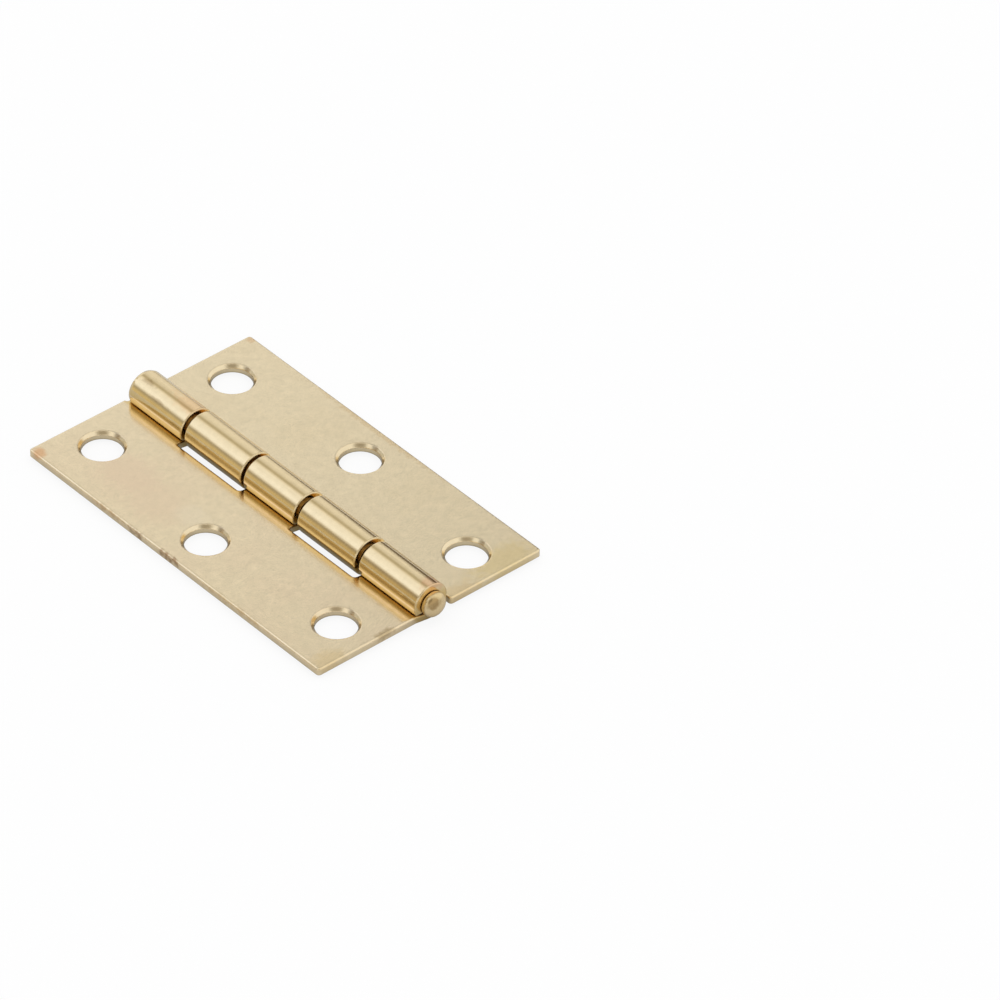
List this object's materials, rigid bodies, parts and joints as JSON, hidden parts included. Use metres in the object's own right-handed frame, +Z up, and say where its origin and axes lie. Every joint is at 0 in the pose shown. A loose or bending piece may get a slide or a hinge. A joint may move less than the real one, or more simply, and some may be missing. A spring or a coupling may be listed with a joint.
{
  "type": "narrow butt hinge",
  "caption": "Narrow brass-plated butt hinge with flat leaves, curled knuckles on a fixed pin with a domed head, and staggered countersunk screw holes.",
  "frame": {"origin": "bottom centre of the whole hinge as it lies open: on the pin's vertical plane, half way along the overall length with the pin's head, and level with the underside of the barrel", "axes": "+X across the leaves, towards the two-knuckle leaf; +Y along the pin, from its domed head to its tail; +Z up, out of the countersunk faces"},
  "size_m": [0.049, 0.0782, 0.0072],
  "materials": {
    "leaf_plate": "thin satin brass plate on steel sheet, polished on the barrel",
    "pin_plate": "thin bright brass plate on steel"
  },
  "bodies": {
    "three_knuckle_side": {"three_knuckle_leaf": "leaf_plate", "hinge_pin": "pin_plate"},
    "two_knuckle_side": {"two_knuckle_leaf": "leaf_plate"}
  },
  "joints": [
    {"name": "pin_hinge", "type": "hinge", "parent": "three_knuckle_side", "child": "two_knuckle_side", "pos_m": [0, 0, 0.00361], "axis": [0, -1, 0], "range_deg": [-110, 186]}
  ]
}
